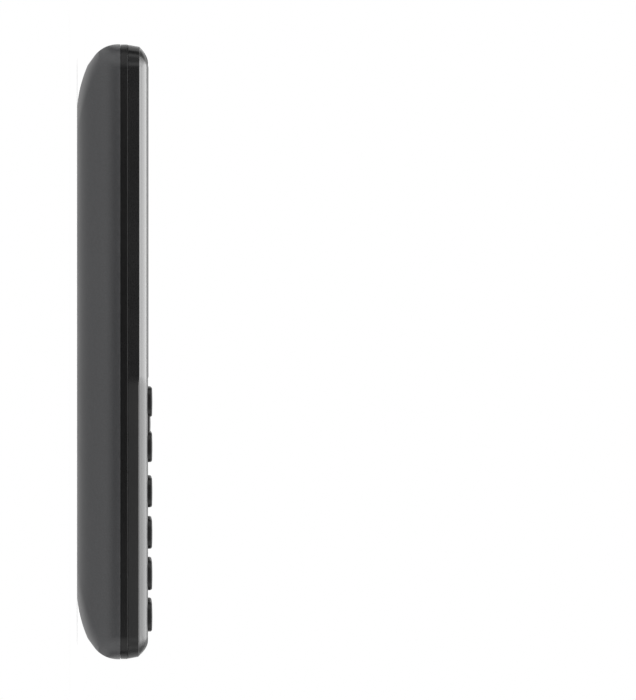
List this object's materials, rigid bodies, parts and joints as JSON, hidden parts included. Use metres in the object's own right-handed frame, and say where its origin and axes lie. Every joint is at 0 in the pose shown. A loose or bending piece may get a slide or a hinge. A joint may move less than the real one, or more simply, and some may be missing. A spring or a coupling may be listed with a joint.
{
  "type": "feature phone",
  "caption": "Candy-bar keypad phone: crowned front shell with display lens and keys, black frame band, rounded clip-on back cover, torch, micro-USB socket and headphone jack.",
  "frame": {"origin": "centre of the flat back, which lies on the table", "axes": "+X to the right seen from the front, +Y toward the top end, +Z out of the front"},
  "size_m": [0.05, 0.118, 0.0144],
  "materials": {
    "cover_plastic": "satin soft-touch moulding",
    "front_plastic": "satin moulding",
    "frame_plastic": "black satin moulding",
    "lens_acrylic": "clear acrylic with a black printed border",
    "tape": "black adhesive tape",
    "lcd_glass": "dark display glass",
    "lcd_metal": "pressed sheet",
    "flex": "amber film",
    "black_plastic": "black moulding",
    "mesh": "fine dark mesh",
    "board": "green solder mask",
    "dome_film": "film over snap domes",
    "silicone": "translucent grey silicone",
    "key_plastic": "satin black caps",
    "nav_plastic": "satin dark grey",
    "plated_steel": "tin plated steel",
    "gold_contact": "gold plated",
    "torch_rim": "dark satin ring with a bright cup",
    "clear_lens": "clear",
    "led_epoxy": "yellow phosphor under clear epoxy",
    "battery_wrap": "plain grey wrap",
    "camera_glass": "dark window"
  },
  "bodies": {
    "back_cover": {"back_cover": "cover_plastic", "camera_window": "camera_glass", "speaker_mesh": "mesh"},
    "handset": {"mid_frame": "frame_plastic", "front_housing": "front_plastic", "display_lens": "lens_acrylic", "lens_tape": "tape", "lcd_panel": "lcd_glass", "lcd_frame": "lcd_metal", "lcd_flex": "flex", "earpiece": "black_plastic", "earpiece_mesh": "mesh", "main_board": "board", "shield_cans": "lcd_metal", "dome_sheet": "dome_film", "keypad_mat": "silicone", "usb_shell": "plated_steel", "usb_tongue": "black_plastic", "audio_jack": "black_plastic", "microphone": "plated_steel", "mic_boot": "silicone", "torch_bezel": "torch_rim", "torch_lens": "clear_lens", "torch_led": "led_epoxy", "battery": "battery_wrap", "battery_contacts": "gold_contact", "sim_sockets": "plated_steel", "memory_card_socket": "plated_steel", "antenna": "gold_contact", "loudspeaker": "black_plastic", "vibration_motor": "plated_steel", "camera_module": "black_plastic", "housing_screws": "plated_steel"},
    "key_1": {"key_1": "key_plastic"},
    "key_2": {"key_2": "key_plastic"},
    "key_3": {"key_3": "key_plastic"},
    "key_4": {"key_4": "key_plastic"},
    "key_5": {"key_5": "key_plastic"},
    "key_6": {"key_6": "key_plastic"},
    "key_7": {"key_7": "key_plastic"},
    "key_8": {"key_8": "key_plastic"},
    "key_9": {"key_9": "key_plastic"},
    "key_star": {"key_star": "key_plastic"},
    "key_0": {"key_0": "key_plastic"},
    "key_hash": {"key_hash": "key_plastic"},
    "key_soft_left": {"key_soft_left": "key_plastic"},
    "key_soft_right": {"key_soft_right": "key_plastic"},
    "key_call": {"key_call": "key_plastic"},
    "key_end": {"key_end": "key_plastic"},
    "nav_ok": {"nav_ok": "key_plastic"},
    "nav_rocker": {"nav_rocker": "nav_plastic"},
    "nav_ring": {"nav_ring": "nav_plastic"},
    "vibration_weight": {"vibration_weight": "plated_steel"}
  },
  "joints": [
    {"name": "cover_release", "type": "slide", "parent": "back_cover", "child": "handset", "axis": [0, 0, 1], "range_m": [0, 0.014]},
    {"name": "key_1_press", "type": "slide", "parent": "handset", "child": "key_1", "axis": [0, 0, -1], "range_m": [0, 0.0004], "stiffness_N_per_m": 2000},
    {"name": "key_2_press", "type": "slide", "parent": "handset", "child": "key_2", "axis": [0, 0, -1], "range_m": [0, 0.0004], "stiffness_N_per_m": 2000},
    {"name": "key_3_press", "type": "slide", "parent": "handset", "child": "key_3", "axis": [0, 0, -1], "range_m": [0, 0.0004], "stiffness_N_per_m": 2000},
    {"name": "key_4_press", "type": "slide", "parent": "handset", "child": "key_4", "axis": [0, 0, -1], "range_m": [0, 0.0004], "stiffness_N_per_m": 2000},
    {"name": "key_5_press", "type": "slide", "parent": "handset", "child": "key_5", "axis": [0, 0, -1], "range_m": [0, 0.0004], "stiffness_N_per_m": 2000},
    {"name": "key_6_press", "type": "slide", "parent": "handset", "child": "key_6", "axis": [0, 0, -1], "range_m": [0, 0.0004], "stiffness_N_per_m": 2000},
    {"name": "key_7_press", "type": "slide", "parent": "handset", "child": "key_7", "axis": [0, 0, -1], "range_m": [0, 0.0004], "stiffness_N_per_m": 2000},
    {"name": "key_8_press", "type": "slide", "parent": "handset", "child": "key_8", "axis": [0, 0, -1], "range_m": [0, 0.0004], "stiffness_N_per_m": 2000},
    {"name": "key_9_press", "type": "slide", "parent": "handset", "child": "key_9", "axis": [0, 0, -1], "range_m": [0, 0.0004], "stiffness_N_per_m": 2000},
    {"name": "key_star_press", "type": "slide", "parent": "handset", "child": "key_star", "axis": [0, 0, -1], "range_m": [0, 0.0004], "stiffness_N_per_m": 2000},
    {"name": "key_0_press", "type": "slide", "parent": "handset", "child": "key_0", "axis": [0, 0, -1], "range_m": [0, 0.0004], "stiffness_N_per_m": 2000},
    {"name": "key_hash_press", "type": "slide", "parent": "handset", "child": "key_hash", "axis": [0, 0, -1], "range_m": [0, 0.0004], "stiffness_N_per_m": 2000},
    {"name": "key_soft_left_press", "type": "slide", "parent": "handset", "child": "key_soft_left", "axis": [0, 0, -1], "range_m": [0, 0.0004], "stiffness_N_per_m": 2000},
    {"name": "key_soft_right_press", "type": "slide", "parent": "handset", "child": "key_soft_right", "axis": [0, 0, -1], "range_m": [0, 0.0004], "stiffness_N_per_m": 2000},
    {"name": "key_call_press", "type": "slide", "parent": "handset", "child": "key_call", "axis": [0, 0, -1], "range_m": [0, 0.0004], "stiffness_N_per_m": 2000},
    {"name": "key_end_press", "type": "slide", "parent": "handset", "child": "key_end", "axis": [0, 0, -1], "range_m": [0, 0.0004], "stiffness_N_per_m": 2000},
    {"name": "nav_ok_press", "type": "slide", "parent": "handset", "child": "nav_ok", "axis": [0, 0, -1], "range_m": [0, 0.0004], "stiffness_N_per_m": 2000},
    {"name": "nav_left_right", "type": "hinge", "parent": "handset", "child": "nav_rocker", "pos_m": [0, -0.01395, 0.01205], "axis": [0, 1, 0], "range_deg": [-1.5, 1.5], "stiffness_Nm_per_rad": 0.4},
    {"name": "nav_up_down", "type": "hinge", "parent": "nav_rocker", "child": "nav_ring", "pos_m": [0, -0.01395, 0.01205], "axis": [1, 0, 0], "range_deg": [-1.5, 1.5], "stiffness_Nm_per_rad": 0.4},
    {"name": "vibration_spin", "type": "hinge", "parent": "handset", "child": "vibration_weight", "pos_m": [-0.0165, 0, 0.0042], "axis": [0, 1, 0], "continuous": true}
  ]
}
